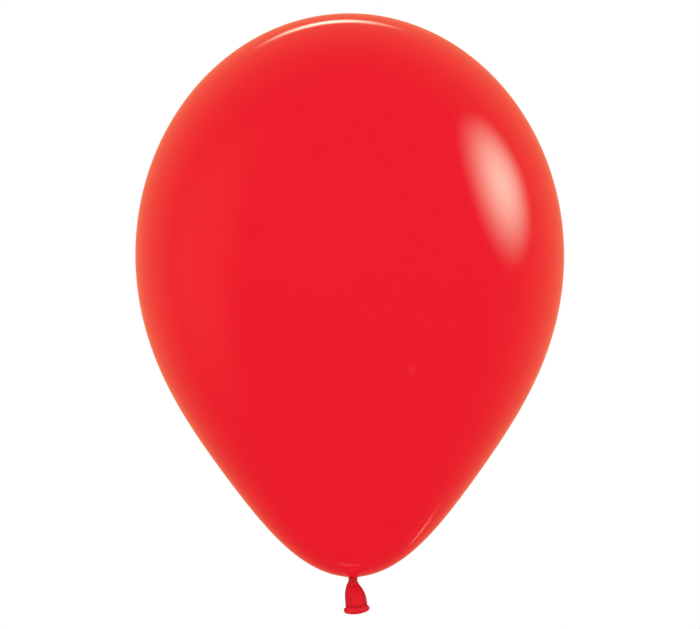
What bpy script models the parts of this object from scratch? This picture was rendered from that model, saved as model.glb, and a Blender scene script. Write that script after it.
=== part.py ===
"""An inflated latex party balloon, tied in its own neck.

A latex balloon is one dipped moulding. Its working zones are modelled as separate bodies, so
that the bulb can lean and twist on its knot and the tail below the knot can flop and lean.

The origin is the middle of the tie groove in the neck, between the knot and the tail. +Z runs
up the neck to the crown, and the flat of the tail faces -Y. Lengths are in metres.
"""

import math

import bpy
from mathutils import Matrix, Vector

MM = 0.001
GAP = 0.3 * MM
ROUND_SEGMENTS = 20
SEGMENTS_PER_PLEAT = 4
BEAD_SIDES = 8
SEARCH_ROUNDS = 40

# Bulb: a turned pear shape. Heights are above the tie groove. At an angle t from the crown its
# radius is sin(t) * (GIRTH + GIRTH_UP * cos(t) + GIRTH_ENDS * cos(t)**2), and its height runs from
# the crown to the bottom as cos(t), drawn down by sin(t)**2 * (SINK + SINK_UP * cos(t)).
CROWN_Z = 398.2 * MM
BOTTOM_Z = 3.7 * MM
GIRTH = 127.4 * MM
GIRTH_UP = 72.5 * MM
GIRTH_ENDS = 38.1 * MM
SINK = 64.1 * MM
SINK_UP = 51.7 * MM
BULB_LEAN = math.radians(-0.55)
FILM_WALL = 0.02 * MM
POLE_MERGE = 0.1 * FILM_WALL
BULB_SEGMENTS = 48
BULB_STEPS = 25

# Neck, between the bulb and the knot: it turns about the middle of the knot.
SWAY_PIVOT = Vector((0.0, 0.0, 2.0 * MM))
NECK_HOLE_RADIUS = 8.0 * MM
FUNNEL_RADIUS = 7.5 * MM
FUNNEL_THROAT_RADIUS = 3.1 * MM
FUNNEL_WALL = 0.5 * MM
FUNNEL_UNDERSIDE = (0.62 * FUNNEL_RADIUS, 0.8 * FUNNEL_RADIUS, FUNNEL_RADIUS)
FUNNEL_PLEATS = 9
FUNNEL_PLEAT_DEPTH = 0.1 * MM
SOCKET_RADIUS = 3.45 * MM
SOCKET_TOP_ANGLE = math.radians(35.0)
STEM_RADIUS = 3.1 * MM
STEM_Z = 3.8 * MM
STEM_STEPS = 4

# Knot: one turn of the neck round the pinched strand that runs through it.
KNOT_RADIUS = 3.05 * MM
KNOT_HEIGHT = 3.0 * MM
KNOT_TURN_WIDTH = 1.6 * MM
KNOT_TILT = math.radians(5.0)
CORE_RADIUS = 1.1 * MM
CORE_BEVEL = CORE_RADIUS / 3
CORE_BOTTOM_Z = 0.2 * MM
CORE_TOP_Z = 3.45 * MM

# Tail: the free end of the neck, a flattened open sleeve with a rolled rim at its mouth. The
# depths of the throat's and the sleeve's pleats are shares of their radius. The mouth's two lips
# bow down between its ends.
TAIL_PIVOT = Vector((0.0, 0.0, -2.6 * MM))
TAIL_FORWARD = math.radians(-26.0)
TAIL_LEAN = math.radians(-7.5)
THROAT_HALF_WIDTH = 2.2 * MM
THROAT_HALF_DEPTH = 1.8 * MM
THROAT_HALF_HEIGHT = 2.0 * MM
THROAT_STEPS = 8
THROAT_PLEATS = 6
THROAT_PLEAT_DEPTH = 0.06
SLEEVE_TOP = 0.4 * MM
SLEEVE_TOP_HALF_WIDTH = 4.9 * MM
SLEEVE_TOP_HALF_DEPTH = 2.75 * MM
SLEEVE_HALF_WIDTH = 7.2 * MM
SLEEVE_HALF_DEPTH = 2.6 * MM
SLEEVE_FLARE = 4.8 * MM
SLEEVE_WALL = 0.45 * MM
SLEEVE_STEPS = 6
SLEEVE_STEP_SPREAD = 1.4
SLEEVE_PLEATS = 8
SLEEVE_PLEAT_DEPTH = 0.05
RIM_DISTANCE = 17.8 * MM
RIM_HALF_WIDTH = 7.55 * MM
RIM_HALF_DEPTH = 2.6 * MM
RIM_BEAD_RADIUS = 1.4 * MM
RIM_BOW = 1.2 * MM
RIM_SEGMENTS = 32
SLEEVE_LENGTH = RIM_DISTANCE - RIM_BEAD_RADIUS - GAP - SLEEVE_TOP

RED_FILM = (0.84, 0.012, 0.026)
RED_THICK = (0.70, 0.010, 0.022)
FILM_ROUGHNESS = 0.18
THICK_ROUGHNESS = 0.35


def clear_scene():
    """Remove every object, so that the script can be run again."""
    for obj in list(bpy.data.objects):
        bpy.data.objects.remove(obj, do_unlink=True)


def latex(name, colour, roughness):
    """A plain red latex material."""
    material = bpy.data.materials.new(name)
    material.use_nodes = True
    shader = material.node_tree.nodes["Principled BSDF"]
    shader.inputs["Base Color"].default_value = (*colour, 1.0)
    shader.inputs["Roughness"].default_value = roughness
    shader.inputs["Metallic"].default_value = 0.0
    return material


def add_object(name, mesh, material):
    """Put a mesh into the scene as one named, smooth-shaded sub-part."""
    mesh.shade_smooth()
    mesh.materials.append(material)
    obj = bpy.data.objects.new(name, mesh)
    bpy.context.scene.collection.objects.link(obj)
    return obj


def add_pivot(name, location, rotation=(0.0, 0.0, 0.0)):
    """An empty on a joint's axis, which the moving sub-parts are parented to."""
    pivot = bpy.data.objects.new(name, None)
    pivot.location = location
    pivot.rotation_euler = rotation
    bpy.context.scene.collection.objects.link(pivot)
    return pivot


def bulb_point(t):
    """Radius and height of the bulb's outer skin, at an angle t from the crown."""
    up = math.cos(t)
    across = math.sin(t)
    radius = across * (GIRTH + GIRTH_UP * up + GIRTH_ENDS * up * up)
    middle = (CROWN_Z + BOTTOM_Z) / 2
    height = middle + (CROWN_Z - BOTTOM_Z) / 2 * up - across * across * (SINK + SINK_UP * up)
    return Vector((radius, height))


def angle_at_radius(radius):
    """The angle from the crown at which the bulb's lower side has closed in to a radius."""
    low, high = math.pi / 2, math.pi
    for _ in range(SEARCH_ROUNDS):
        middle = (low + high) / 2
        if bulb_point(middle).x > radius:
            low = middle
        else:
            high = middle
    return low


def bottom_height(radius):
    """Height of the bulb's outer skin at a radius near the neck."""
    return bulb_point(angle_at_radius(radius)).y


def bulb_profile():
    """The bulb's outer profile from the crown down to the edge of the neck hole."""
    end = angle_at_radius(NECK_HOLE_RADIUS)
    return [bulb_point(end * step / BULB_STEPS) for step in range(BULB_STEPS + 1)]


def oval(half_width, half_depth, z, segments, pleats=0, depth=0.0, bow=0.0):
    """A ring of points round Z, its radius waved by a share of itself where it is pleated.

    Its front and back hang lower than its ends by the bow.
    """
    ring = []
    for step in range(segments):
        angle = math.tau * step / segments
        wave = 1.0 + depth * math.cos(pleats * angle)
        x = half_width * wave * math.cos(angle)
        y = half_depth * wave * math.sin(angle)
        ring.append(Vector((x, y, z - bow * math.sin(angle) ** 2)))
    return ring


def loft(name, rings, closed=False):
    """A mesh through rings of points, from the top ring down its outer side.

    Each end ring is capped, or shrinks to a point where it holds a single one. A closed loft
    joins its last ring to its first instead.
    """
    vertices = [point for ring in rings for point in ring]
    starts = [sum(len(ring) for ring in rings[:index]) for index in range(len(rings))]
    pairs = list(zip(range(len(rings) - 1), range(1, len(rings))))
    if closed:
        pairs.append((len(rings) - 1, 0))
    faces = []
    for upper, lower in pairs:
        faces += bridge(starts[upper], len(rings[upper]), starts[lower], len(rings[lower]))
    if not closed and len(rings[0]) > 1:
        faces.append(list(range(starts[0], starts[0] + len(rings[0]))))
    if not closed and len(rings[-1]) > 1:
        faces.append(list(range(starts[-1] + len(rings[-1]) - 1, starts[-1] - 1, -1)))
    mesh = bpy.data.meshes.new(name)
    mesh.from_pydata(vertices, [], faces)
    mesh.update()
    return mesh


def bridge(upper, upper_count, lower, lower_count):
    """Faces between two rings, either of which may be a single point."""
    count = max(upper_count, lower_count)
    faces = []
    for step in range(count):
        following = (step + 1) % count
        corners = [
            upper + step % upper_count,
            lower + step % lower_count,
            lower + following % lower_count,
            upper + following % upper_count,
        ]
        faces.append(list(dict.fromkeys(corners)))
    return faces


def envelope(material):
    """The stretched film of the bulb, open at the neck: a turned profile with a thin wall."""
    profile = bulb_profile()
    edges = list(zip(range(len(profile) - 1), range(1, len(profile))))
    mesh = bpy.data.meshes.new("envelope")
    mesh.from_pydata([(point.x, 0.0, point.y - SWAY_PIVOT.z) for point in profile], edges, [])
    obj = add_object("envelope", mesh, material)
    turn = obj.modifiers.new("turn", "SCREW")
    turn.angle = math.tau
    turn.steps = BULB_SEGMENTS
    turn.render_steps = BULB_SEGMENTS
    turn.use_merge_vertices = True
    turn.merge_threshold = POLE_MERGE
    turn.use_smooth_shade = True
    wall = obj.modifiers.new("wall", "SOLIDIFY")
    wall.thickness = FILM_WALL
    wall.offset = -1.0
    obj.location = SWAY_PIVOT
    obj.rotation_euler = (0.0, BULB_LEAN, 0.0)
    return obj


def funnel_section():
    """The funnel's wall in section, from the lip up in the throat, down and out, then back inside."""
    foot_angle = math.atan2(FUNNEL_THROAT_RADIUS, bottom_height(FUNNEL_THROAT_RADIUS) - SWAY_PIVOT.z)
    middle_angle = (SOCKET_TOP_ANGLE + foot_angle) / 2
    under = [(radius, bottom_height(radius) - SWAY_PIVOT.z) for radius in FUNNEL_UNDERSIDE]
    socket = [
        (SOCKET_RADIUS * math.sin(angle), SOCKET_RADIUS * math.cos(angle))
        for angle in (SOCKET_TOP_ANGLE, middle_angle, foot_angle)
    ]
    over = [(radius, height + FUNNEL_WALL) for radius, height in reversed(under)]
    outer = SOCKET_RADIUS + FUNNEL_WALL
    back = [(outer * math.sin(angle), outer * math.cos(angle)) for angle in (middle_angle, SOCKET_TOP_ANGLE)]
    return socket + under + over + back


def neck_funnel(material):
    """The thick pleated latex that flares from the throat to the film, turned up round the stem."""
    segments = SEGMENTS_PER_PLEAT * FUNNEL_PLEATS
    rings = []
    for radius, height in funnel_section():
        share = (radius - FUNNEL_THROAT_RADIUS) / (FUNNEL_RADIUS - FUNNEL_THROAT_RADIUS)
        depth = FUNNEL_PLEAT_DEPTH / radius * math.sin(math.pi * min(max(share, 0.0), 1.0))
        rings.append(oval(radius, radius, height, segments, FUNNEL_PLEATS, depth))
    rings.reverse()
    obj = add_object("neck_funnel", loft("neck_funnel", rings, closed=True), material)
    obj.location = SWAY_PIVOT
    return obj


def neck_stem(material):
    """The gathered plug of neck latex that stands on the knot, rounded to the funnel's socket."""
    foot = STEM_Z - SWAY_PIVOT.z
    foot_angle = math.acos(foot / STEM_RADIUS)
    rings = [[Vector((0.0, 0.0, STEM_RADIUS))]]
    for step in range(1, STEM_STEPS + 1):
        angle = foot_angle * step / STEM_STEPS
        radius = STEM_RADIUS * math.sin(angle)
        rings.append(oval(radius, radius, STEM_RADIUS * math.cos(angle), ROUND_SEGMENTS))
    obj = add_object("neck_stem", loft("neck_stem", rings), material)
    obj.location = SWAY_PIVOT
    return obj


def ring_bead(name, half_width, half_depth, bead_width, bead_height, segments, bow=0.0):
    """A bead of oval section swept round an oval in the XY plane, which may bow down."""
    sections = []
    for step in range(segments):
        angle = math.tau * step / segments
        drop = bow * math.sin(angle) ** 2
        centre = Vector((half_width * math.cos(angle), half_depth * math.sin(angle), -drop))
        outward = Vector((half_depth * math.cos(angle), half_width * math.sin(angle), 0.0)).normalized()
        section = []
        for side in range(BEAD_SIDES):
            turn = math.tau * side / BEAD_SIDES
            offset = outward * (bead_width * math.cos(turn))
            section.append(centre + offset + Vector((0.0, 0.0, bead_height * math.sin(turn))))
        sections.append(section)
    return loft(name, sections, closed=True)


def knot_turn(material):
    """The turn of neck that the knot is tied with, lying round the pinched strand."""
    width = KNOT_TURN_WIDTH / 2
    radius = KNOT_RADIUS - width
    mesh = ring_bead("knot_turn", radius, radius, width, KNOT_HEIGHT / 2, ROUND_SEGMENTS)
    obj = add_object("knot_turn", mesh, material)
    obj.location = SWAY_PIVOT
    obj.rotation_euler = (0.0, KNOT_TILT, 0.0)
    return obj


def knot_core(material):
    """The pinched strand of neck that runs through the turn."""
    heights = (
        (CORE_TOP_Z, CORE_RADIUS - CORE_BEVEL),
        (CORE_TOP_Z - CORE_BEVEL, CORE_RADIUS),
        (CORE_BOTTOM_Z + CORE_BEVEL, CORE_RADIUS),
        (CORE_BOTTOM_Z, CORE_RADIUS - CORE_BEVEL),
    )
    rings = [oval(radius, radius, z, ROUND_SEGMENTS) for z, radius in heights]
    return add_object("knot_core", loft("knot_core", rings), material)


def tail_throat(material, pivot):
    """The gathered bead of latex just under the tie groove, where the tail swings."""
    segments = SEGMENTS_PER_PLEAT * THROAT_PLEATS
    rings = [[Vector((0.0, 0.0, THROAT_HALF_HEIGHT))]]
    for step in range(1, THROAT_STEPS):
        angle = math.pi * step / THROAT_STEPS
        across = math.sin(angle)
        half_width = THROAT_HALF_WIDTH * across
        half_depth = THROAT_HALF_DEPTH * across
        height = THROAT_HALF_HEIGHT * math.cos(angle)
        depth = THROAT_PLEAT_DEPTH * across
        rings.append(oval(half_width, half_depth, height, segments, THROAT_PLEATS, depth))
    rings.append([Vector((0.0, 0.0, -THROAT_HALF_HEIGHT))])
    obj = add_object("tail_throat", loft("tail_throat", rings), material)
    obj.parent = pivot
    return obj


def sleeve_ring(distance, inset):
    """A pleated oval ring of the sleeve, at a distance below the tail's pivot."""
    flare = 1.0 - math.exp(-(distance - SLEEVE_TOP) / SLEEVE_FLARE)
    half_width = SLEEVE_TOP_HALF_WIDTH + (SLEEVE_HALF_WIDTH - SLEEVE_TOP_HALF_WIDTH) * flare
    half_depth = SLEEVE_TOP_HALF_DEPTH + (SLEEVE_HALF_DEPTH - SLEEVE_TOP_HALF_DEPTH) * flare
    segments = SEGMENTS_PER_PLEAT * SLEEVE_PLEATS
    depth = SLEEVE_PLEAT_DEPTH * (1.0 - flare)
    bow = RIM_BOW * ((distance - SLEEVE_TOP) / SLEEVE_LENGTH) ** 2
    return oval(half_width - inset, half_depth - inset, -distance, segments, SLEEVE_PLEATS, depth, bow)


def tail_sleeve(material, pivot):
    """The flattened open tube of neck between the throat and the rolled rim."""
    shares = [(step / SLEEVE_STEPS) ** SLEEVE_STEP_SPREAD for step in range(SLEEVE_STEPS + 1)]
    distances = [SLEEVE_TOP + SLEEVE_LENGTH * share for share in shares]
    rings = [sleeve_ring(distance, 0.0) for distance in distances]
    rings += [sleeve_ring(distance, SLEEVE_WALL) for distance in reversed(distances)]
    obj = add_object("tail_sleeve", loft("tail_sleeve", rings, closed=True), material)
    obj.parent = pivot
    return obj


def rolled_rim(material, pivot):
    """The bead of film rolled round the mouth of the neck."""
    bead = RIM_BEAD_RADIUS
    mesh = ring_bead("rolled_rim", RIM_HALF_WIDTH, RIM_HALF_DEPTH, bead, bead, RIM_SEGMENTS, RIM_BOW)
    mesh.transform(Matrix.Translation((0.0, 0.0, -RIM_DISTANCE)))
    obj = add_object("rolled_rim", mesh, material)
    obj.parent = pivot
    return obj


def main():
    """Build the balloon."""
    clear_scene()
    film = latex("stretched_latex", RED_FILM, FILM_ROUGHNESS)
    thick = latex("neck_latex", RED_THICK, THICK_ROUGHNESS)
    envelope(film)
    neck_funnel(thick)
    neck_stem(thick)
    knot_turn(thick)
    knot_core(thick)
    tail_pivot = add_pivot("tail_pivot", TAIL_PIVOT, (TAIL_FORWARD, 0.0, 0.0))
    lean_pivot = add_pivot("lean_pivot", (0.0, 0.0, 0.0), (0.0, TAIL_LEAN, 0.0))
    lean_pivot.parent = tail_pivot
    tail_throat(thick, tail_pivot)
    tail_sleeve(thick, lean_pivot)
    rolled_rim(thick, lean_pivot)
    bpy.context.view_layer.update()


main()
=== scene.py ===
"""A red latex party balloon, blown up and tied in its own neck: its skin, knot, tail and studio.

The bulb is a turned pear shape that follows one formula. Its film runs into a pleated neck, the
knot is a turn of gathered latex, and the tail is a flattened sleeve that ends in a rolled mouth.
Lengths are in metres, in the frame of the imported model: +Z runs up the neck to the crown, and the
flat of the tail faces -Y.
"""

from __future__ import annotations

import logging
import math
from dataclasses import dataclass, field
from enum import Enum

import bpy
from mathutils import Matrix, Vector


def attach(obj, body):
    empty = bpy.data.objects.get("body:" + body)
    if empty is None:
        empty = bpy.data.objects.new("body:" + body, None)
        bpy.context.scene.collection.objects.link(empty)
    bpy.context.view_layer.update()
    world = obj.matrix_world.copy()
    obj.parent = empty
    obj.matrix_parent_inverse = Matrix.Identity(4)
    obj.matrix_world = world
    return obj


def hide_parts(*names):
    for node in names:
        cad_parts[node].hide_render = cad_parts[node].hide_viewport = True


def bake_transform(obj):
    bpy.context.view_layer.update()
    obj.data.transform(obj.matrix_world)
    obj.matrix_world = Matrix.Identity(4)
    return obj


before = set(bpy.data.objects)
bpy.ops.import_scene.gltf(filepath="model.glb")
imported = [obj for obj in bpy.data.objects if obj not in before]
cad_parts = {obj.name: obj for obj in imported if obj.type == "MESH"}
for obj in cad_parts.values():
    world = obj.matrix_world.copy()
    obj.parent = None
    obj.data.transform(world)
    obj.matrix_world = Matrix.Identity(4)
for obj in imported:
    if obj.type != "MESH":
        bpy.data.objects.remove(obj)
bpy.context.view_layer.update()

MM = 0.001
LOG = logging.getLogger("balloon")

# The mesh attribute that says how deep in a crease a point lies, from 0 to 1, and so how much painted
# shade the material gives it.
CREASE_SHADE = "crease_shade"

# The neck's joints cross in the collar on top of the knot, and the tail's in the top of the tail.
SWAY_PIVOT = Vector((0.0, 0.0, 2.0 * MM))
TAIL_PIVOT = Vector((0.0, 0.0, -2.6 * MM))

# Points closer than this are welded into one, and edges sharper than this stay sharp.
WELD_DISTANCE = 0.002 * MM
SHARP_ANGLE = math.radians(60.0)

Number = float | int


class Body(Enum):
    """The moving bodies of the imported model."""

    KNOT = "knot"
    STEM = "stem"
    FUNNEL = "funnel"
    BULB = "bulb"
    THROAT = "throat"
    TAIL = "tail"


class Slot(Enum):
    """The record's material slots."""

    FILM = "stretched_latex"
    NECK = "neck_latex"


class Axis(Enum):
    """An axis that a shape is turned about."""

    X = "X_AXIS"
    Y = "Y_AXIS"


def linear_colour(code: str) -> tuple[float, float, float, float]:
    """Turn an sRGB hex colour into linear RGBA.

    Args:
        code: The colour as "#rrggbb".

    Returns:
        Its red, green and blue in linear light, with an alpha of 1.
    """
    values = [int(code[start : start + 2], 16) / 255.0 for start in (1, 3, 5)]
    linear = [v / 12.92 if v <= 0.04045 else ((v + 0.055) / 1.055) ** 2.4 for v in values]
    return (*linear, 1.0)


def add_node(
    tree: bpy.types.NodeTree, kind: str, settings: dict | None = None, inputs: dict | None = None
) -> bpy.types.Node:
    """Add a node to a tree, with its settings and its inputs.

    Args:
        tree: The tree that the node goes into.
        kind: The node's type name.
        settings: The node's own properties, by name.
        inputs: Its inputs by name or place, each a value, a socket or a Field.

    Returns:
        The new node.
    """
    node = tree.nodes.new(kind)
    for name, value in (settings or {}).items():
        setattr(node, name, value)
    for key, value in (inputs or {}).items():
        source = value.socket if isinstance(value, Field) else value
        if isinstance(source, bpy.types.NodeSocket):
            tree.links.new(source, node.inputs[key])
        else:
            node.inputs[key].default_value = source
    return node


@dataclass(frozen=True)
class Field:
    """A number that a node tree works out, which can be calculated with like any other number."""

    tree: bpy.types.NodeTree
    socket: bpy.types.NodeSocket

    def math(self, operation: str, *others: Field | Number) -> Field:
        """The result of a Math node.

        Args:
            operation: The node's operation.
            others: What follows this number in its inputs.

        Returns:
            The result.
        """
        inputs = dict(enumerate((self, *others)))
        node = add_node(self.tree, "ShaderNodeMath", {"operation": operation}, inputs)
        return Field(self.tree, node.outputs[0])

    def __add__(self, other: Field | Number) -> Field:
        """The sum of two numbers."""
        return self.math("ADD", other)

    def __sub__(self, other: Field | Number) -> Field:
        """The difference of two numbers."""
        return self.math("SUBTRACT", other)

    def __mul__(self, other: Field | Number) -> Field:
        """The product of two numbers."""
        return self.math("MULTIPLY", other)

    def __truediv__(self, other: Field | Number) -> Field:
        """The quotient of two numbers."""
        return self.math("DIVIDE", other)

    def __neg__(self) -> Field:
        """This number with its sign changed."""
        return self.math("MULTIPLY", -1.0)

    __radd__ = __add__
    __rmul__ = __mul__

    def __rsub__(self, other: Number) -> Field:
        """A plain number less this one."""
        return -self + other

    def sin(self) -> Field:
        """The sine of this angle."""
        return self.math("SINE")

    def cos(self) -> Field:
        """The cosine of this angle."""
        return self.math("COSINE")

    def exp(self) -> Field:
        """e to the power of this number."""
        return self.math("EXPONENT")

    def power(self, exponent: Field | Number) -> Field:
        """This number to a power."""
        return self.math("POWER", exponent)

    def ease(self, start: Field | Number, end: Field | Number) -> Field:
        """A smooth step from 0 to 1.

        Args:
            start: Where the step starts.
            end: Where it ends.

        Returns:
            0 before the start, 1 after the end, and the step between them.
        """
        share = (self - start) / (end - start)
        held = share.math("MAXIMUM", 0.0).math("MINIMUM", 1.0)
        return held * held * (3.0 - 2.0 * held)


class ShapeTree:
    """A Geometry Nodes tree that bends a grid of faces into a skin."""

    def __init__(self, name: str, sizes: dict[str, float], around: int, along: int) -> None:
        """Start a tree with its named inputs and its grid.

        Args:
            name: The tree's name.
            sizes: The named number inputs, with their values.
            around: Faces round the skin.
            along: Faces along the skin.
        """
        self.values: dict[str, float | int | bpy.types.Material] = {}
        self.tree = bpy.data.node_groups.new(name, "GeometryNodeTree")
        self.tree.is_modifier = True
        self.sockets: dict[str, str] = {}
        for label, value in sizes.items():
            self._input(label, "NodeSocketFloat", value)
        self._input("Faces Around", "NodeSocketInt", around)
        self._input("Faces Along", "NodeSocketInt", along)
        self._input("Finish", "NodeSocketMaterial", None)
        self.tree.interface.new_socket("Skin", in_out="OUTPUT", socket_type="NodeSocketGeometry")
        self.entry = add_node(self.tree, "NodeGroupInput")
        counts = {"Size X": 1.0, "Size Y": 1.0}
        counts["Vertices X"] = self["Faces Around"] + 1
        counts["Vertices Y"] = self["Faces Along"] + 1
        self.grid = add_node(self.tree, "GeometryNodeMeshGrid", None, counts)
        split = add_node(self.tree, "ShaderNodeSeparateXYZ", None, {0: self.grid.outputs["UV Map"]})
        self.around = Field(self.tree, split.outputs["X"])
        self.along = Field(self.tree, split.outputs["Y"])

    def _input(self, label: str, kind: str, value: object) -> None:
        """Add one named input, and note its value for the modifier.

        Args:
            label: The input's name.
            kind: The type of its socket.
            value: What the modifier sets it to.
        """
        socket = self.tree.interface.new_socket(label, in_out="INPUT", socket_type=kind)
        self.sockets[label] = socket.identifier
        self.values[label] = value

    def __getitem__(self, label: str) -> Field:
        """The named input, as a number to calculate with."""
        return Field(self.tree, self.entry.outputs[label])

    def vector(self, x: Field, y: Field, z: Field) -> bpy.types.NodeSocket:
        """A point made of three numbers."""
        return add_node(self.tree, "ShaderNodeCombineXYZ", None, {"X": x, "Y": y, "Z": z}).outputs[0]

    def turned(
        self, point: bpy.types.NodeSocket, axis: Axis, angle: Field, centre: Vector
    ) -> bpy.types.NodeSocket:
        """A point turned about an axis through a centre.

        Args:
            point: The point to turn.
            axis: The axis to turn it about.
            angle: How far it turns, in radians.
            centre: A point on the axis.

        Returns:
            The turned point.
        """
        settings = {"rotation_type": axis.value}
        inputs = {"Vector": point, "Center": centre, "Angle": angle}
        return add_node(self.tree, "ShaderNodeVectorRotate", settings, inputs).outputs[0]

    def finish(self, place: bpy.types.NodeSocket, crease_shade: Field) -> None:
        """Move the grid to its place, weld its seam and poles, and dress it.

        Args:
            place: Where each point of the grid goes.
            crease_shade: How much painted shade each point gets, from 0 to 1, by how deep in a crease
                it lies.
        """
        moved = {"Geometry": self.grid.outputs["Mesh"], "Position": place}
        node = add_node(self.tree, "GeometryNodeSetPosition", None, moved)
        # Store the painted shade of the creases, for the material to read.
        stored = {"Geometry": node.outputs[0], "Name": CREASE_SHADE, "Value": crease_shade}
        node = add_node(self.tree, "GeometryNodeStoreNamedAttribute", {"data_type": "FLOAT"}, stored)
        settings = {"data_type": "FLOAT2", "domain": "CORNER"}
        stored = {"Geometry": node.outputs[0], "Name": "UVMap", "Value": self.grid.outputs["UV Map"]}
        node = add_node(self.tree, "GeometryNodeStoreNamedAttribute", settings, stored)
        welded = {"Geometry": node.outputs[0], "Distance": WELD_DISTANCE}
        node = add_node(self.tree, "GeometryNodeMergeByDistance", None, welded)
        node = add_node(self.tree, "GeometryNodeSetShadeSmooth", None, {"Geometry": node.outputs[0]})
        node = add_node(self.tree, "GeometryNodeRealizeInstances", None, {"Geometry": node.outputs[0]})
        dressed = {"Geometry": node.outputs[0], "Material": self.entry.outputs["Finish"]}
        node = add_node(self.tree, "GeometryNodeSetMaterial", None, dressed)
        add_node(self.tree, "NodeGroupOutput", None, {0: node.outputs[0]})

    def skin(self, name: str, finish: bpy.types.Material, wall: float = 0.0) -> bpy.types.Object:
        """Run the tree once and keep its result as a plain mesh.

        Args:
            name: The piece's name.
            finish: Its material.
            wall: The thickness to give it, inwards, or 0 to leave it as it is.

        Returns:
            The piece, at the origin, with its place in its mesh.
        """
        carrier = bpy.data.objects.new(name + ".carrier", bpy.data.meshes.new("empty"))
        bpy.context.scene.collection.objects.link(carrier)
        shape = carrier.modifiers.new("shape", "NODES")
        shape.node_group = self.tree
        self.values["Finish"] = finish
        for label, value in self.values.items():
            shape[self.sockets[label]] = value
        if wall:
            shell = carrier.modifiers.new("wall", "SOLIDIFY")
            shell.thickness = wall
            shell.offset = -1.0
            shell.use_even_offset = True
        graph = bpy.context.evaluated_depsgraph_get()
        mesh = bpy.data.meshes.new_from_object(carrier.evaluated_get(graph), depsgraph=graph)
        bpy.data.objects.remove(carrier)
        mesh.name = name
        mesh.shade_smooth()
        mesh.set_sharp_from_angle(angle=SHARP_ANGLE)
        obj = bpy.data.objects.new(name, mesh)
        bpy.context.scene.collection.objects.link(obj)
        return obj


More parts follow.
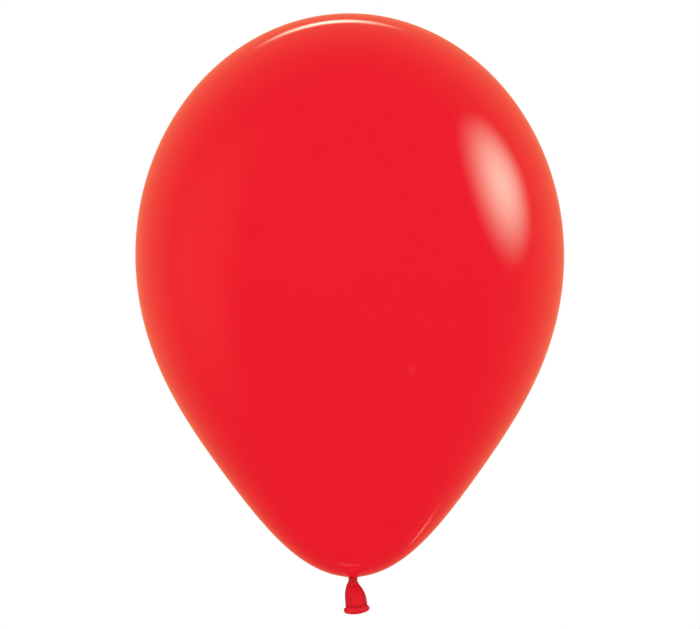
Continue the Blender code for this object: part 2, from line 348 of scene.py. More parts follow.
@dataclass(frozen=True)
class Latex:
    """Dipped natural rubber latex.

    It is glassy smooth where it is stretched, and waxier and deeper red where it is gathered. Its
    creases are painted the deepest red, as painted shade.
    """

    name: str
    stretched: str
    gathered: str
    # The deep red painted into creases as painted shade.
    shaded_crease: str
    roughness: float
    thick_roughness: float
    specular: float
    grain: float
    grain_size: float
    softness: float
    index: float = 1.52
    scatter_depth: float = 1.0 * MM
    scatter_shares: tuple[float, float, float] = (1.0, 0.12, 0.08)
    grain_detail: float = 3.0
    mottle_size: float = 30.0 * MM
    mottle_share: float = 0.04
    soft_detail: float = 2.0
    flow_share: float = 0.025
    flow_roughness: float = 0.02
    flow_count: float = 14.0
    flow_drift: float = 6.0
    patch_size: float = 3.0 * MM
    patch_range: tuple[float, float] = (-1.0, 0.5)
    neck_reach: float = 7.0 * MM
    crown_spot: tuple[float, float] = (5.0 * MM, 16.0 * MM)
    crown_share: float = 0.35

    def material(self, crown: Vector, gathered: bool) -> bpy.types.Material:
        """Make the material.

        Args:
            crown: The middle of the thick spot that the dipping leaves on the crown.
            gathered: Whether the whole piece is unstretched latex.

        Returns:
            The material, on Object coordinates.
        """
        material = bpy.data.materials.new(self.name)
        material.use_nodes = True
        tree = material.node_tree
        shader = tree.nodes["Principled BSDF"]
        shader.inputs["IOR"].default_value = self.index
        shader.inputs["Specular IOR Level"].default_value = self.specular
        shader.inputs["Subsurface Scale"].default_value = self.scatter_depth
        shader.inputs["Subsurface Radius"].default_value = self.scatter_shares
        shader.inputs["Subsurface Weight"].default_value = self.softness
        place = add_node(tree, "ShaderNodeTexCoord").outputs["Object"]
        thick = self._gathering(tree, place) if gathered else self._thickness(tree, place, crown)
        flow = self._flow(tree, place)
        colour = self._colour(tree, place, thick, flow)
        tree.links.new(colour, shader.inputs["Base Color"])
        rougher = thick * (self.thick_roughness - self.roughness)
        rough = self.roughness + rougher + flow * self.flow_roughness
        tree.links.new(rough.socket, shader.inputs["Roughness"])
        fine = self._noise(tree, place, self.grain_size, self.grain_detail)
        bump = {"Strength": 1.0, "Distance": self.grain, "Height": fine}
        grain = add_node(tree, "ShaderNodeBump", None, bump)
        tree.links.new(grain.outputs[0], shader.inputs["Normal"])
        return material

    def _colour(
        self, tree: bpy.types.NodeTree, place: bpy.types.NodeSocket, thick: Field, flow: Field
    ) -> bpy.types.NodeSocket:
        """The latex's colour, deeper where it is gathered, with painted shade in its creases.

        Args:
            tree: The material's tree.
            place: The Object coordinates.
            thick: How thick the latex is, from 0 to 1.
            flow: The streaks that the latex left as it ran, from -0.5 to 0.5.

        Returns:
            The colour.
        """
        layers = {0: thick, 6: linear_colour(self.stretched), 7: linear_colour(self.gathered)}
        base = add_node(tree, "ShaderNodeMix", {"data_type": "RGBA"}, layers)
        # Painted shade: the deep red of the creases, mixed in by how deep in a crease each point lies.
        crease_shade = add_node(tree, "ShaderNodeAttribute", {"attribute_name": CREASE_SHADE})
        layers = {0: crease_shade.outputs["Fac"], 6: base.outputs[2], 7: linear_colour(self.shaded_crease)}
        folded = add_node(tree, "ShaderNodeMix", {"data_type": "RGBA"}, layers)
        mottle = self._noise(tree, place, self.mottle_size, self.soft_detail)
        value = 1.0 + mottle * self.mottle_share + flow * self.flow_share
        inputs = {"Color": folded.outputs[2], "Value": value}
        return add_node(tree, "ShaderNodeHueSaturation", None, inputs).outputs[0]

    def _noise(
        self, tree: bpy.types.NodeTree, place: bpy.types.NodeSocket, size: float, detail: float
    ) -> Field:
        """Even noise round 0.

        Args:
            tree: The material's tree.
            place: Where to read it.
            size: The size of its patches, in metres.
            detail: How many finer layers it has.

        Returns:
            The noise, from -0.5 to 0.5.
        """
        inputs = {"Vector": place, "Scale": 1.0 / size, "Detail": detail}
        return Field(tree, add_node(tree, "ShaderNodeTexNoise", None, inputs).outputs[0]) - 0.5

    def _flow(self, tree: bpy.types.NodeTree, place: bpy.types.NodeSocket) -> Field:
        """Faint streaks down the length, where the latex ran off the dipping form.

        Args:
            tree: The material's tree.
            place: The Object coordinates.

        Returns:
            The streaks, from -0.5 to 0.5.
        """
        kind, product = "ShaderNodeVectorMath", {"operation": "MULTIPLY"}
        level = add_node(tree, kind, product, {0: place, 1: (1.0, 1.0, 0.0)})
        across = add_node(tree, kind, {"operation": "NORMALIZE"}, {0: level.outputs[0]})
        up = add_node(tree, kind, product, {0: place, 1: (0.0, 0.0, self.flow_drift)})
        path = add_node(tree, kind, {"operation": "ADD"}, {0: across.outputs[0], 1: up.outputs[0]})
        return self._noise(tree, path.outputs[0], 1.0 / self.flow_count, self.soft_detail)

    def _gathering(self, tree: bpy.types.NodeTree, place: bpy.types.NodeSocket) -> Field:
        """How gathered an unstretched piece is: soft patches a few millimetres wide."""
        return self._noise(tree, place, self.patch_size, 1.0).ease(*self.patch_range)

    def _thickness(self, tree: bpy.types.NodeTree, place: bpy.types.NodeSocket, crown: Vector) -> Field:
        """How thick the blown-up film is, from 0 to 1: it is thicker at the neck and the crown.

        Args:
            tree: The material's tree.
            place: The Object coordinates.
            crown: The middle of the crown's thick spot.

        Returns:
            The thickness.
        """
        gaps = []
        for centre in (SWAY_PIVOT, crown):
            inputs = {0: place, 1: centre}
            gap = add_node(tree, "ShaderNodeVectorMath", {"operation": "DISTANCE"}, inputs)
            gaps.append(Field(tree, gap.outputs["Value"]))
        neck = (gaps[0] / -self.neck_reach).exp()
        spot = 1.0 - gaps[1].ease(*self.crown_spot)
        return (neck + spot * self.crown_share).math("MINIMUM", 1.0)


# Blown-up film: natural latex stretched thin, so the eye sees a mirror-smooth, even, bright red.
# Its fine waves are about 0.05 mm apart, too fine to show, and are drawn at 1.6 mm.
STRETCHED_LATEX = Latex(
    name="stretched_natural_latex",
    stretched="#f21a2b",
    gathered="#e61a28",
    # Painted shade: the deep red painted into the pleats round the neck.
    shaded_crease="#b01018",
    roughness=0.07,
    thick_roughness=0.2,
    specular=0.5,
    grain=0.0015 * MM,
    grain_size=1.6 * MM,
    softness=0.0,
)
# Unstretched neck: the same rubber as it came off the form, powdered, so the eye sees a waxy skin
# with a soft sheen; its creases get painted shade, a deeper red. The powder's grain is about
# 0.02 mm, too fine to show, and is drawn at 0.5 mm.
NECK_LATEX = Latex(
    name="unstretched_natural_latex",
    stretched="#ff1a30",
    gathered="#f0182a",
    # Painted shade: the deep red painted into the neck's creases and folds and along the tail's sides.
    shaded_crease="#a90d19",
    roughness=0.4,
    thick_roughness=0.48,
    specular=0.18,
    grain=0.012 * MM,
    grain_size=0.5 * MM,
    softness=0.15,
)


@dataclass
class Bulb:
    """The blown-up film, and the pleated skin that joins it to the neck.

    At an angle t from the crown the radius is
    sin(t) * (girth + girth_up * cos(t) + girth_ends * cos(t)**2), and the height runs from the
    crown to the bottom as cos(t), drawn down by sin(t)**2 * (sink + sink_up * cos(t)). The pleats
    and the dip round the neck are on the lower side only, where cos(t) is in lower_side, and the
    pleats fade as exp(-radius / pleat_reach).
    """

    crown_z: float = 398.2 * MM
    bottom_z: float = 3.7 * MM
    girth: float = 127.4 * MM
    girth_up: float = 72.5 * MM
    girth_ends: float = 38.1 * MM
    sink: float = 64.1 * MM
    sink_up: float = 51.7 * MM
    lean: float = math.radians(-0.55)
    film_edge: float = 16.0 * MM
    flare_start: float = 6.5 * MM
    gather_start: float = 2.9 * MM
    gather_top: float = 3.5 * MM
    seam_slack: float = 0.1 * MM
    film_wall: float = 0.15 * MM
    lower_side: tuple[float, float] = (-0.999, -0.9)
    pleats: int = 13
    pleat_depth: float = 0.182 * MM
    pleat_reach: float = 6.0 * MM
    pleat_wander: tuple[float, float] = (1.3, 0.4)
    # How much painted shade the pleats' valleys get.
    pleat_shade: float = 0.8
    dip: float = 0.8 * MM
    dip_reach: float = 8.0 * MM
    around: int = 208
    along: int = 150
    halvings: int = 40

    def radius(self, t: float) -> float:
        """The film's radius at an angle t from the crown."""
        up = math.cos(t)
        return math.sin(t) * (self.girth + self.girth_up * up + self.girth_ends * up * up)

    def angle_at(self, radius: float) -> float:
        """Find where the lower side has closed in to a radius.

        Args:
            radius: The radius.

        Returns:
            The angle from the crown.
        """
        low, high = math.pi / 2, math.pi
        for _ in range(self.halvings):
            middle = (low + high) / 2
            low, high = (middle, high) if self.radius(middle) > radius else (low, middle)
        return low

    def height_at(self, radius: float) -> float:
        """The height of the lower side where it has closed in to a radius.

        Args:
            radius: The radius.

        Returns:
            The height, without pleats, dip and lean.
        """
        t = self.angle_at(radius)
        up, across = math.cos(t), math.sin(t)
        level = (self.crown_z * (1.0 + up) + self.bottom_z * (1.0 - up)) / 2.0
        return level - across * across * (self.sink + self.sink_up * up)

    def crown(self) -> Vector:
        """The top of the bulb, at rest."""
        turn = Matrix.Rotation(self.lean, 3, "Y")
        return SWAY_PIVOT + turn @ (Vector((0.0, 0.0, self.crown_z)) - SWAY_PIVOT)

    def shape(self, first: float, last: float, along: int) -> ShapeTree:
        """The tree of a band of the skin between two angles from the crown.

        Args:
            first: The angle where the band starts.
            last: The angle where it ends.
            along: Faces between them.

        Returns:
            The tree.
        """
        sizes = {
            "Crown Height": self.crown_z,
            "Bottom Height": self.bottom_z,
            "Girth": self.girth,
            "Girth Up": self.girth_up,
            "Girth Ends": self.girth_ends,
            "Sink": self.sink,
            "Sink Up": self.sink_up,
            "Lean": self.lean,
            "First Angle": first,
            "Last Angle": last,
            "Pleats": float(self.pleats),
            "Pleat Depth": self.pleat_depth,
            "Pleat Reach": self.pleat_reach,
            "Pleat Shade": self.pleat_shade,
            "Dip": self.dip,
            "Dip Reach": self.dip_reach,
        }
        skin = ShapeTree("turned_film", sizes, self.around, along)
        t = skin["First Angle"] + (skin["Last Angle"] - skin["First Angle"]) * skin.along
        turn = skin.around * math.tau
        up, across = t.cos(), t.sin()
        radius = across * (skin["Girth"] + skin["Girth Up"] * up + skin["Girth Ends"] * up * up)
        middle = (skin["Crown Height"] + skin["Bottom Height"]) * 0.5
        reach = (skin["Crown Height"] - skin["Bottom Height"]) * 0.5
        drop = across * across * (skin["Sink"] + skin["Sink Up"] * up)
        lower = 1.0 - up.ease(*self.lower_side)
        near = lower * (-(radius / skin["Pleat Reach"])).exp()
        slow, quick = self.pleat_wander
        uneven = turn * skin["Pleats"] + (turn * 2.0 + 0.7).sin() * slow + (turn * 5.0).sin() * quick
        pleat = uneven.cos() * skin["Pleat Depth"] * near
        inner = (1.0 - radius / skin["Dip Reach"]).math("MAXIMUM", 0.0) * lower
        height = middle + reach * up - drop + pleat - inner * inner * skin["Dip"]
        point = skin.vector(radius * turn.cos(), radius * turn.sin(), height)
        # Painted shade in the pleats' valleys, fading with the pleats.
        crease_shade = (0.5 - uneven.cos() * 0.5) * near * skin["Pleat Shade"]
        skin.finish(skin.turned(point, Axis.Y, skin["Lean"], SWAY_PIVOT), crease_shade)
        return skin

    def build(self, finish: bpy.types.Material) -> list[bpy.types.Object]:
        """Make the film, the flare and the gather, each with its wall.

        Args:
            finish: The latex that they are made of.

        Returns:
            The three pieces, from the crown down.
        """
        bands = (
            ("bulb_film", 0.0, self.angle_at(self.film_edge), self.along),
            ("neck_flare", self.angle_at(self.film_edge), self.angle_at(self.flare_start), 30),
            ("neck_gather", self.angle_at(self.flare_start), self.angle_at(self.gather_start), 30),
        )
        pieces = []
        for name, first, last, along in bands:
            pieces.append(self.shape(first, last, along).skin(name, finish, self.film_wall))
        return pieces

    def bend(
        self, piece: bpy.types.Object, bodies: tuple[Body, Body], inner: float, outer: float
    ) -> None:
        """Bake a band of the skin's place into its mesh.

        Args:
            piece: The band.
            bodies: The body that its inner edge would move with, and its outer edge's; not used.
            inner: The height up to which it would follow the first body; not used.
            outer: The radius of its outer edge.
        """
        tilt = outer * math.sin(abs(self.lean)) + self.seam_slack
        end = self.height_at(outer) - tilt
        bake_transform(piece)

    def dress(self, film: bpy.types.Object, flare: bpy.types.Object, gather: bpy.types.Object) -> None:
        """Attach the film to the bulb, bake the flare's and the gather's places into their meshes, and
        hide the parts that the film and the flare stand for.

        Args:
            film: The blown-up film.
            flare: The outer ring of the neck's skin.
            gather: The inner ring.
        """
        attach(film, Body.BULB.value)
        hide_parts("envelope")
        slack = self.flare_start * math.sin(abs(self.lean)) + self.seam_slack
        inner = self.height_at(self.flare_start) + slack
        self.bend(flare, (Body.FUNNEL, Body.BULB), inner, self.film_edge)
        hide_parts("neck_funnel")
        self.bend(gather, (Body.STEM, Body.FUNNEL), self.gather_top, self.flare_start)


@dataclass
class Bead:
    """A bead of latex rolled or gathered into an oval ring, with pleats over it.

    The ring's front and back may bow down between its ends, and the ends may be swollen. Two slow
    waves round the ring, the second of them second_wave as strong, make its thickness uneven.
    """

    name: str
    half_width: float
    half_depth: float
    bead_width: float
    bead_height: float
    height: float
    pleats: int
    turns: int
    pleat_depth: float
    # How much painted shade the pleats' valleys get.
    crease_shade: float = 0.5
    pleat_wander: float = 0.8
    unevenness: float = 0.0
    second_wave: float = 0.6
    bow: float = 0.0
    end_swell: float = 0.0
    # How much painted shade the ring's two ends get.
    end_shade: float = 0.0
    aside: float = 0.0
    tilt: float = 0.0
    forward: float = 0.0
    pivot: Vector = field(default_factory=lambda: SWAY_PIVOT.copy())
    around: int = 160
    along: int = 40

    def shape(self) -> ShapeTree:
        """The tree of the bead: a ring of oval sections, turned to its tilt.

        Returns:
            The tree.
        """
        sizes = {
            "Half Width": self.half_width,
            "Half Depth": self.half_depth,
            "Bead Half Width": self.bead_width,
            "Bead Half Height": self.bead_height,
            "Height": self.height,
            "Pleats": float(self.pleats),
            "Turns": float(self.turns),
            "Pleat Depth": self.pleat_depth,
            "Pleat Wander": self.pleat_wander,
            "Crease Shade": self.crease_shade,
            "Unevenness": self.unevenness,
            "Second Wave": self.second_wave,
            "Bow": self.bow,
            "End Swell": self.end_swell,
            "End Shade": self.end_shade,
            "Aside": self.aside,
            "Tilt": self.tilt,
            "Forward": self.forward,
        }
        skin = ShapeTree("oval_bead", sizes, self.around, self.along)
        turn = skin.around * math.tau
        section = skin.along * math.tau
        waves = (turn * 2.0 + 1.0).sin() + (turn * 3.0 + 0.4).cos() * skin["Second Wave"]
        ends = turn.cos() * turn.cos()
        swell = 1.0 + skin["Unevenness"] * waves
        wander = (turn * 2.0).sin() * skin["Pleat Wander"]
        pleat = (turn * skin["Pleats"] + section * skin["Turns"] + wander).cos()
        outward = (skin["Bead Half Width"] * swell + pleat * skin["Pleat Depth"]) * section.cos()
        tall = skin["Bead Half Height"] * (swell + ends * skin["End Swell"])
        upward = (tall + pleat * skin["Pleat Depth"]) * section.sin()
        ahead = skin["Half Depth"] * turn.cos()
        aside = skin["Half Width"] * turn.sin()
        length = (ahead * ahead + aside * aside).math("SQRT")
        x = skin["Half Width"] * turn.cos() + outward * ahead / length + skin["Aside"]
        y = skin["Half Depth"] * turn.sin() + outward * aside / length
        drop = turn.sin() * turn.sin() * skin["Bow"]
        point = skin.vector(x, y, skin["Height"] + upward - drop + self.pivot.z)
        point = skin.turned(point, Axis.Y, skin["Tilt"], self.pivot)
        point = skin.turned(point, Axis.X, skin["Forward"], self.pivot)
        # Painted shade in the pleats' valleys and at the ring's two ends.
        crease_shade = (0.5 - pleat * 0.5) * skin["Crease Shade"] + ends.power(4.0) * skin["End Shade"]
        skin.finish(point, crease_shade)
        return skin

    def build(self, finish: bpy.types.Material) -> bpy.types.Object:
        """Make the bead from its latex."""
        return self.shape().skin(self.name, finish)


@dataclass
class Neck:
    """The gathered collar on the knot, the knot's turn and the strand that runs through it."""

    collar: Bead = field(
        default_factory=lambda: Bead(
            name="neck_collar",
            half_width=2.5 * MM,
            half_depth=2.5 * MM,
            bead_width=0.6 * MM,
            bead_height=0.55 * MM,
            height=1.5 * MM,
            pleats=11,
            turns=1,
            pleat_depth=0.08 * MM,
            # Painted shade in the collar's pleat valleys.
            crease_shade=0.9,
        )
    )
    turn: Bead = field(
        default_factory=lambda: Bead(
            name="knot_wrap",
            half_width=2.3 * MM,
            half_depth=2.3 * MM,
            bead_width=0.82 * MM,
            bead_height=1.5 * MM,
            height=-0.05 * MM,
            pleats=9,
            turns=1,
            pleat_depth=0.12 * MM,
            # Painted shade in the knot's pleat valleys.
            crease_shade=0.8,
            unevenness=0.03,
            tilt=math.radians(5.0),
        )
    )
    strand: Bead = field(
        default_factory=lambda: Bead(
            name="knot_strand",
            half_width=0.7 * MM,
            half_depth=0.7 * MM,
            bead_width=0.5 * MM,
            bead_height=1.75 * MM,
            height=-0.1 * MM,
            pleats=6,
            turns=0,
            pleat_depth=0.06 * MM,
            around=72,
        )
    )

    def build(self, finish: bpy.types.Material) -> list[bpy.types.Object]:
        """Make the three pieces from unstretched latex."""
        return [part.build(finish) for part in (self.collar, self.turn, self.strand)]

    def dress(self, collar: bpy.types.Object, turn: bpy.types.Object, strand: bpy.types.Object) -> None:
        """Say what each piece moves with and stands for.

        Args:
            collar: The gathered collar on top of the knot.
            turn: The knot's turn.
            strand: The strand that runs through it.
        """
        rides = (
            (collar, Body.STEM, "neck_stem"),
            (turn, Body.KNOT, "knot_turn"),
            (strand, Body.KNOT, "knot_core"),
        )
        for piece, body, node in rides:
            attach(piece, body.value)
            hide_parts(node)


@dataclass
class Tail:
    """The free end of the neck: a flattened sleeve with folds, and the rolled mouth.

    Distances run down the tail from its pivot. The sleeve's half width closes in on the mouth's as
    exp(-(run / flare)**flare_power), and its middle bulges aside round the distance sway_at. Pairs
    give where something starts and where it ends: lip_zone counts up from the sleeve's bottom, and
    the first of flop_bend is a height.
    """

    forward: float = math.radians(-26.0)
    lean: float = math.radians(-7.5)
    turn_zone: tuple[float, float] = (-3.0 * MM, 2.4 * MM)
    flop_bend: tuple[float, float] = (0.3 * MM, 3.6 * MM)
    lean_bend: tuple[float, float] = (4.0 * MM, 15.0 * MM)
    top: float = -3.3 * MM
    shoulder_end: float = 3.8 * MM
    bend_end: float = 15.2 * MM
    bottom: float = 16.9 * MM
    neck_width: float = 3.0 * MM
    mouth_width: float = 7.25 * MM
    neck_depth: float = 2.75 * MM
    mouth_depth: float = 2.6 * MM
    flare: float = 6.4 * MM
    flare_power: float = 1.5
    waist: float = 0.12
    waist_reach: float = 0.7 * MM
    sway: float = 0.65 * MM
    sway_at: float = 11.0 * MM
    sway_reach: float = 8.0 * MM
    wall: float = 0.45 * MM
    gathers: int = 11
    gather_depth: float = 0.06
    folds: int = 5
    fold_depth: float = 0.34 * MM
    fold_power: float = 6.0
    fold_zone: tuple[float, float] = (1.0 * MM, 9.0 * MM)
    first_fold: float = math.radians(240.0)
    # Painted shade along the sleeve's two side edges, which falls off as the cosine to this power.
    side_power: float = 5.0
    # How much painted shade the gathers' valleys and the long folds get.
    valley_shade: float = 0.9
    fold_shade: float = 0.4
    # Painted shade ramps up over this stretch above the sleeve's bottom, just above the rolled mouth.
    lip_zone: tuple[float, float] = (1.9 * MM, 1.0 * MM)
    rim_distance: float = 17.8 * MM
    rim_width: float = 7.55 * MM
    rim_depth: float = 2.6 * MM
    rim_radius: float = 1.45 * MM
    rim_bow: float = 1.45 * MM
    rim_end_swell: float = 0.42
    step_inset: float = 0.45 * MM
    step_proud: float = 0.2 * MM
    step_up: float = 1.55 * MM
    around: int = 220

    def shape(self, first: float, last: float, along: int) -> ShapeTree:
        """The tree of a stretch of the sleeve.

        Args:
            first: The distance where it starts.
            last: The distance where it ends.
            along: Faces between them.

        Returns:
            The tree.
        """
        sizes = {
            "First Distance": first,
            "Last Distance": last,
            "Top Distance": self.top,
            "Bottom Distance": self.bottom,
            "Neck Half Width": self.neck_width,
            "Mouth Half Width": self.mouth_width,
            "Neck Half Depth": self.neck_depth,
            "Mouth Half Depth": self.mouth_depth,
            "Flare": self.flare,
            "Flare Power": self.flare_power,
            "Waist": self.waist,
            "Waist Reach": self.waist_reach,
            "Sway": self.sway,
            "Bow": self.rim_bow,
            "Gathers": float(self.gathers),
            "Gather Depth": self.gather_depth,
            "Folds": float(self.folds),
            "Fold Depth": self.fold_depth,
            "Fold Power": self.fold_power,
            "First Fold": self.first_fold,
            "Forward": self.forward,
            "Lean": self.lean,
        }
        skin = ShapeTree("folded_sleeve", sizes, self.around, along)
        below = skin["First Distance"] + (skin["Last Distance"] - skin["First Distance"]) * skin.along
        turn = skin.around * math.tau
        run = below - skin["Top Distance"]
        narrow = (-((run / skin["Flare"]).power(skin["Flare Power"]))).exp()
        waist = 1.0 - (-((run / skin["Waist Reach"]).power(2.0))).exp() * skin["Waist"]
        pleat = (turn * skin["Gathers"] + (turn * 2.0).sin()).cos()
        gather = 1.0 + (pleat - 1.0) * skin["Gather Depth"] * narrow
        ridge = ((turn - skin["First Fold"]) * skin["Folds"]).cos() * 0.5 + 0.5
        folded = ridge.power(skin["Fold Power"]) * below.ease(*self.fold_zone)
        fold = folded * skin["Fold Depth"]
        wide = skin["Mouth Half Width"] - (skin["Mouth Half Width"] - skin["Neck Half Width"]) * narrow
        deep = skin["Mouth Half Depth"] - (skin["Mouth Half Depth"] - skin["Neck Half Depth"]) * narrow
        bulge = (-((below - self.sway_at) / self.sway_reach).power(2.0)).exp() * skin["Sway"]
        x = (wide * waist * gather - fold) * turn.cos() + bulge
        y = (deep * waist * gather - fold) * turn.sin()
        lowered = (below / skin["Bottom Distance"]).math("MAXIMUM", 0.0) * turn.sin()
        point = skin.vector(x, y, TAIL_PIVOT.z - below - lowered * lowered * skin["Bow"])
        bent = below.ease(*self.turn_zone)
        point = skin.turned(point, Axis.Y, skin["Lean"] * bent, TAIL_PIVOT)
        point = skin.turned(point, Axis.X, skin["Forward"] * bent, TAIL_PIVOT)
        skin.finish(point, self._crease_shade(skin, below, turn, folded, pleat, narrow))
        return skin

    def _crease_shade(
        self, skin: ShapeTree, below: Field, turn: Field, folded: Field, pleat: Field, narrow: Field
    ) -> Field:
        """How much painted shade each point gets: along the sleeve's two side edges, in its folds and
        gathers, and just above the rolled mouth.

        Args:
            skin: The tree it is worked out in.
            below: The distance below the tail's pivot.
            turn: The angle round the sleeve.
            folded: How deep in a long fold, from 0 to 1.
            pleat: The gathers at the top, from -1 in a valley to 1 on a ridge.
            narrow: How near the neck, from 0 to 1.

        Returns:
            The painted shade, from 0 to 1.
        """
        sides = turn.cos().math("ABSOLUTE").power(self.side_power)
        valleys = (0.5 - pleat * 0.5) * narrow * self.valley_shade
        lip = below.ease(*(skin["Bottom Distance"] - up for up in self.lip_zone))
        deepest = sides.math("MAXIMUM", folded * self.fold_shade)
        return deepest.math("MAXIMUM", valleys).math("MAXIMUM", lip)

    def rim(self) -> Bead:
        """The bead that the mouth's edge is rolled into.

        Returns:
            The bead.
        """
        share = (self.rim_distance - self.sway_at) / self.sway_reach
        return Bead(
            name="mouth_roll",
            half_width=self.rim_width,
            half_depth=self.rim_depth,
            bead_width=self.rim_radius,
            bead_height=self.rim_radius,
            height=-self.rim_distance,
            pleats=1,
            turns=4,
            pleat_depth=0.05 * MM,
            # Painted shade in the roll's spiral groove and at its two ends.
            crease_shade=0.35,
            unevenness=0.03,
            bow=self.rim_bow,
            end_swell=self.rim_end_swell,
            end_shade=0.5,
            aside=self.sway * math.exp(-share * share),
            tilt=self.lean,
            forward=self.forward,
            pivot=TAIL_PIVOT.copy(),
            around=200,
            along=48,
        )

    def step(self) -> Bead:
        """The narrow ridge just above the rim, where the last turn of the roll didn't close up.

        Returns:
            The ridge, as a bead.
        """
        rim = self.rim()
        return Bead(
            name="mouth_step",
            half_width=self.rim_width - self.step_inset,
            half_depth=self.rim_depth + self.step_proud,
            bead_width=0.45 * MM,
            bead_height=0.4 * MM,
            height=-self.rim_distance + self.step_up,
            pleats=0,
            turns=0,
            pleat_depth=0.0,
            # Faint painted shade that varies round the ridge.
            crease_shade=1.0,
            unevenness=0.08,
            bow=self.rim_bow,
            aside=rim.aside,
            tilt=self.lean,
            forward=self.forward,
            pivot=TAIL_PIVOT.copy(),
            around=200,
            along=20,
        )

    def build(self, finish: bpy.types.Material) -> list[bpy.types.Object]:
        """Make the sleeve in three stretches, and the rolled mouth in two.

        Args:
            finish: The latex that they are made of.

        Returns:
            The five pieces, from the knot down.
        """
        stretches = (
            ("tail_shoulder", self.top, self.shoulder_end, 60),
            ("tail_bend", self.shoulder_end, self.bend_end, 84),
            ("tail_skirt", self.bend_end, self.bottom, 14),
        )
        pieces = []
        for name, first, last, along in stretches:
            pieces.append(self.shape(first, last, along).skin(name, finish, self.wall))
        return pieces + [self.rim().build(finish), self.step().build(finish)]

    def along(self, distance: float) -> Vector:
        """The point on the tail's own line at a distance below its pivot."""
        turn = Matrix.Rotation(self.forward, 3, "X") @ Matrix.Rotation(self.lean, 3, "Y")
        return TAIL_PIVOT + turn @ Vector((0.0, 0.0, -distance))

    def dress(self, pieces: list[bpy.types.Object]) -> None:
        """Attach the skirt, the rim and the step to the tail, bake the shoulder's and the bend's places
        into their meshes, and hide the parts that the shoulder, the skirt and the rim stand for.

        Args:
            pieces: The five pieces, from the knot down.
        """
        shoulder, bend, skirt, rim, step = pieces
        top, flopped = (0, 0, self.flop_bend[0]), self.along(self.flop_bend[1])
        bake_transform(shoulder)
        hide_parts("tail_throat")
        start, end = (self.along(distance) for distance in self.lean_bend)
        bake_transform(bend)
        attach(skirt, Body.TAIL.value)
        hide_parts("tail_sleeve")
        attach(rim, Body.TAIL.value)
        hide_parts("rolled_rim")
        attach(step, Body.TAIL.value)


@dataclass(frozen=True)
class Glow:
    """A soft box a long way off, which shows as a highlight on the film.

    Azimuth 0 lies towards -Y and 90 towards +X. The box is an oval of the given half width and
    half height, turned by its roll, and it fades over the outer share of its size that edge gives.
    All angles are in degrees.
    """

    name: str
    azimuth: float
    elevation: float
    half_width: float
    half_height: float
    roll: float
    radiance: float
    edge: float
    colour: str = "#fff0d6"

    def axes(self) -> tuple[Vector, Vector, Vector]:
        """The box's own directions.

        Returns:
            The directions across the box, up it and towards it.
        """
        az, el, roll = (math.radians(v) for v in (self.azimuth, self.elevation, self.roll))
        towards = Vector((math.sin(az) * math.cos(el), -math.cos(az) * math.cos(el), math.sin(el)))
        level = Vector((math.cos(az), math.sin(az), 0.0))
        upright = towards.cross(level)
        across = level * math.cos(roll) + upright * math.sin(roll)
        return across, towards.cross(across), towards

    def light(self, tree: bpy.types.NodeTree, way: bpy.types.NodeSocket) -> bpy.types.NodeSocket:
        """Add the box's light to a world.

        Args:
            tree: The world's tree.
            way: The direction that the world is seen in.

        Returns:
            The light's shader.
        """
        shares = []
        for axis in self.axes():
            inputs = {0: way, 1: axis}
            node = add_node(tree, "ShaderNodeVectorMath", {"operation": "DOT_PRODUCT"}, inputs)
            shares.append(Field(tree, node.outputs["Value"]))
        across = shares[0] / math.sin(math.radians(self.half_width))
        up = shares[1] / math.sin(math.radians(self.half_height))
        reach = (across * across + up * up).math("SQRT")
        fade = (1.0 - reach.ease(1.0 - self.edge, 1.0)) * shares[2].math("GREATER_THAN", 0.0)
        light = {"Color": linear_colour(self.colour), "Strength": fade * self.radiance}
        return add_node(tree, "ShaderNodeBackground", {"label": self.name}, light).outputs[0]


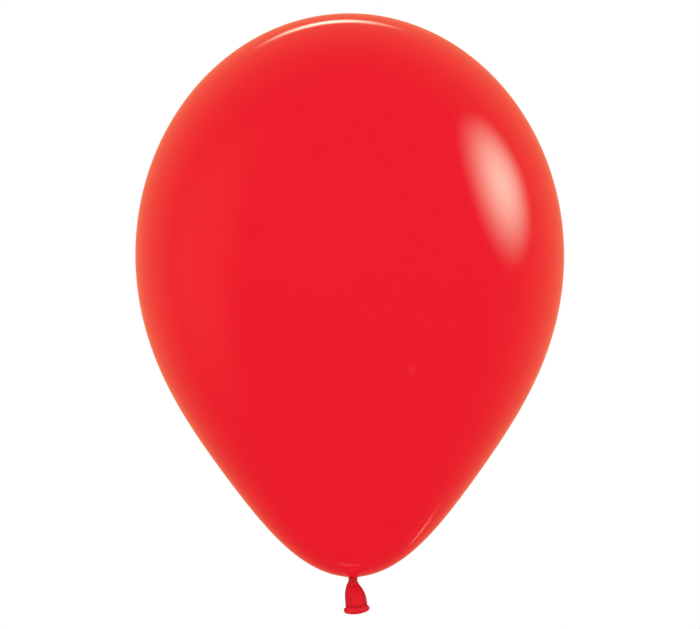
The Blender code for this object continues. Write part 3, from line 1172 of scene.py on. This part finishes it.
@dataclass
class Studio:
    """A white studio: a pale floor well below the balloon, even light and soft boxes.

    The room that gloss sees brightens from front to back over the Y share in room_turn, and loses
    floor_dim of its light on the way down to the depth share in floor_reach.
    """

    floor_z: float = -0.6
    floor_radius: float = 6.0
    floor_sides: int = 96
    floor_colour: str = "#fafafa"
    floor_roughness: float = 0.9
    distance: float = 3.0
    view_width: float = 490.7 * MM
    view_centre: tuple[float, float] = (-2.0 * MM, 187.5 * MM)
    sensor: float = 36.0
    warmth: str = "#ff9c70"
    front: float = 0.15
    back: float = 0.92
    room_turn: tuple[float, float] = (-0.15, 0.85)
    floor_dim: float = 0.92
    floor_reach: float = 0.9
    glows: tuple[Glow, ...] = ()

    def floor(self) -> None:
        """A round pale floor that reflections and light pass through."""
        mesh = bpy.data.meshes.new("studio_floor")
        ring = []
        for step in range(self.floor_sides):
            angle = math.tau * step / self.floor_sides
            x, y = math.cos(angle) * self.floor_radius, math.sin(angle) * self.floor_radius
            ring.append((x, y, self.floor_z))
        mesh.from_pydata(ring, [], [list(range(self.floor_sides))])
        floor = bpy.data.objects.new("studio_floor", mesh)
        bpy.context.scene.collection.objects.link(floor)
        # White background paper: quite matt, so the eye sees no shine or edge on it.
        material = bpy.data.materials.new("matt_white_paper")
        material.use_nodes = True
        shader = material.node_tree.nodes["Principled BSDF"]
        shader.inputs["Base Color"].default_value = linear_colour(self.floor_colour)
        shader.inputs["Roughness"].default_value = self.floor_roughness
        mesh.materials.append(material)
        floor.visible_glossy = False
        floor.visible_diffuse = False
        floor.visible_shadow = False

    def world(self) -> None:
        """Even white light all round, which gloss sees as a dimmer, warmer room with soft boxes."""
        world = bpy.data.worlds.new("white_studio")
        bpy.context.scene.world = world
        world.use_nodes = True
        tree = world.node_tree
        tree.nodes.clear()
        even = {"Color": linear_colour("#ffffff"), "Strength": 1.0}
        white = add_node(tree, "ShaderNodeBackground", None, even)
        way = add_node(tree, "ShaderNodeTexCoord").outputs["Generated"]
        split = add_node(tree, "ShaderNodeSeparateXYZ", None, {0: way})
        ahead, up = Field(tree, split.outputs["Y"]), Field(tree, split.outputs["Z"])
        lit = self.front + (self.back - self.front) * ahead.ease(*self.room_turn)
        level = lit * (1.0 - self.floor_dim * (-up).ease(0.0, self.floor_reach))
        warm = {"Color": linear_colour(self.warmth), "Strength": level}
        room = add_node(tree, "ShaderNodeBackground", None, warm).outputs[0]
        for glow in self.glows:
            parts = {0: room, 1: glow.light(tree, way)}
            room = add_node(tree, "ShaderNodeAddShader", None, parts).outputs[0]
        path = add_node(tree, "ShaderNodeLightPath").outputs["Is Glossy Ray"]
        mixed = add_node(tree, "ShaderNodeMixShader", None, {0: path, 1: white.outputs[0], 2: room})
        add_node(tree, "ShaderNodeOutputWorld", None, {0: mixed.outputs[0]})

    def camera(self) -> None:
        """A long lens, level with the middle of the balloon."""
        data = bpy.data.cameras.new("camera")
        data.sensor_width = self.sensor
        data.lens = self.sensor * self.distance / self.view_width
        camera = bpy.data.objects.new("camera", data)
        bpy.context.scene.collection.objects.link(camera)
        camera.location = (self.view_centre[0], -self.distance, self.view_centre[1])
        camera.rotation_euler = (math.radians(90.0), 0.0, 0.0)
        bpy.context.scene.camera = camera
        bpy.context.scene.view_settings.view_transform = "Standard"

    def build(self) -> None:
        """Set up the whole studio."""
        self.floor()
        self.world()
        self.camera()


GLOWS = (
    Glow("side_box", 96.2, 20.8, 25.0, 26.0, 0.0, 9.6, 1.0, "#9cf0d6"),
    Glow("crown_strip", -175.0, 36.3, 16.0, 4.4, -5.8, 5.6, 1.0, "#c8f0d6"),
    Glow("low_strip", 144.4, -33.9, 6.6, 1.4, -3.3, 1.8, 1.0),
    Glow("left_panel", -84.0, 2.0, 27.0, 62.0, -12.0, 0.5, 0.6, "#ff9c70"),
    Glow("low_spot", 44.4, -43.1, 3.8, 3.8, 0.0, 0.3, 1.0),
    Glow("neck_arc", -176.0, -61.0, 13.0, 3.6, 0.0, 0.5, 1.0),
)


def main() -> None:
    """Build the balloon and its studio, and report each piece."""
    logging.basicConfig(level=logging.INFO, format="%(message)s")
    bulb = Bulb()
    film_latex = STRETCHED_LATEX.material(bulb.crown(), False)
    neck_latex = NECK_LATEX.material(bulb.crown(), True)
    skins = bulb.build(film_latex)
    bulb.dress(*skins)
    neck = Neck()
    knots = neck.build(neck_latex)
    neck.dress(*knots)
    tail = Tail()
    ends = tail.build(neck_latex)
    tail.dress(ends)
    for piece in (*skins, *knots, *ends):
        LOG.info("%s: %d faces", piece.name, len(piece.data.polygons))
    Studio(glows=GLOWS).build()


if __name__ == "__main__":
    main()
